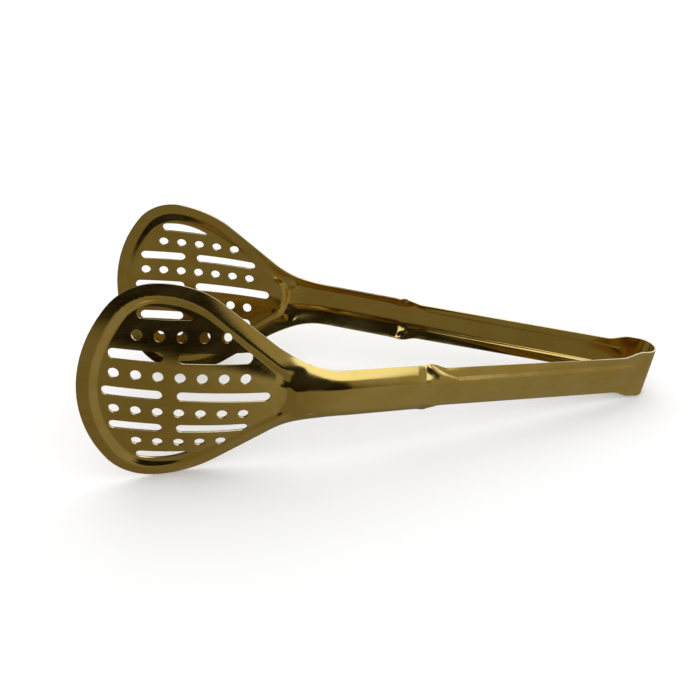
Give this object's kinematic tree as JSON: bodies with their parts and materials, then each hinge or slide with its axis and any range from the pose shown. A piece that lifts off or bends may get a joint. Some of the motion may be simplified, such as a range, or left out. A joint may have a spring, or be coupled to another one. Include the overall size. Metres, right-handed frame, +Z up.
{
  "type": "ice tongs",
  "caption": "Spring tongs with two wide perforated scoops on channel-shaped arms, joined by a folded sprung bow, lying on their side.",
  "frame": {"origin": "on the table, under the middle of the object's box, with the tongs lying at rest on the scoops' lower rims and the bow's lower edge", "axes": "+X along the tongs from the scoops towards the bow, +Y across from the left arm to the right arm, +Z up; the mirror plane of the two arms is Y = 0"},
  "size_m": [0.2422, 0.0968, 0.0832],
  "materials": {
    "gold_steel": "stamped stainless steel sheet with a polished gold-coloured coating"
  },
  "bodies": {
    "bow": {"bow_spring": "gold_steel"},
    "left_arm": {"left_scoop": "gold_steel", "left_shank": "gold_steel", "left_grip": "gold_steel"},
    "right_arm": {"right_scoop": "gold_steel", "right_shank": "gold_steel", "right_grip": "gold_steel"}
  },
  "joints": [
    {"name": "left_squeeze", "type": "hinge", "parent": "bow", "child": "left_arm", "pos_m": [0.11722, -0.00398, 0.01151], "axis": [-0.142, 0, -0.9899], "range_deg": [0, 10.5], "stiffness_Nm_per_rad": 4.5, "deforming": ["bow_spring"]},
    {"name": "right_squeeze", "type": "hinge", "parent": "bow", "child": "right_arm", "pos_m": [0.11722, 0.00398, 0.01151], "axis": [0.142, 0, 0.9899], "range_deg": [0, 10.5], "stiffness_Nm_per_rad": 4.5, "deforming": ["bow_spring"]}
  ],
  "couplings": [
    {"joint": "right_squeeze", "follows": "left_squeeze", "ratio": 1}
  ]
}
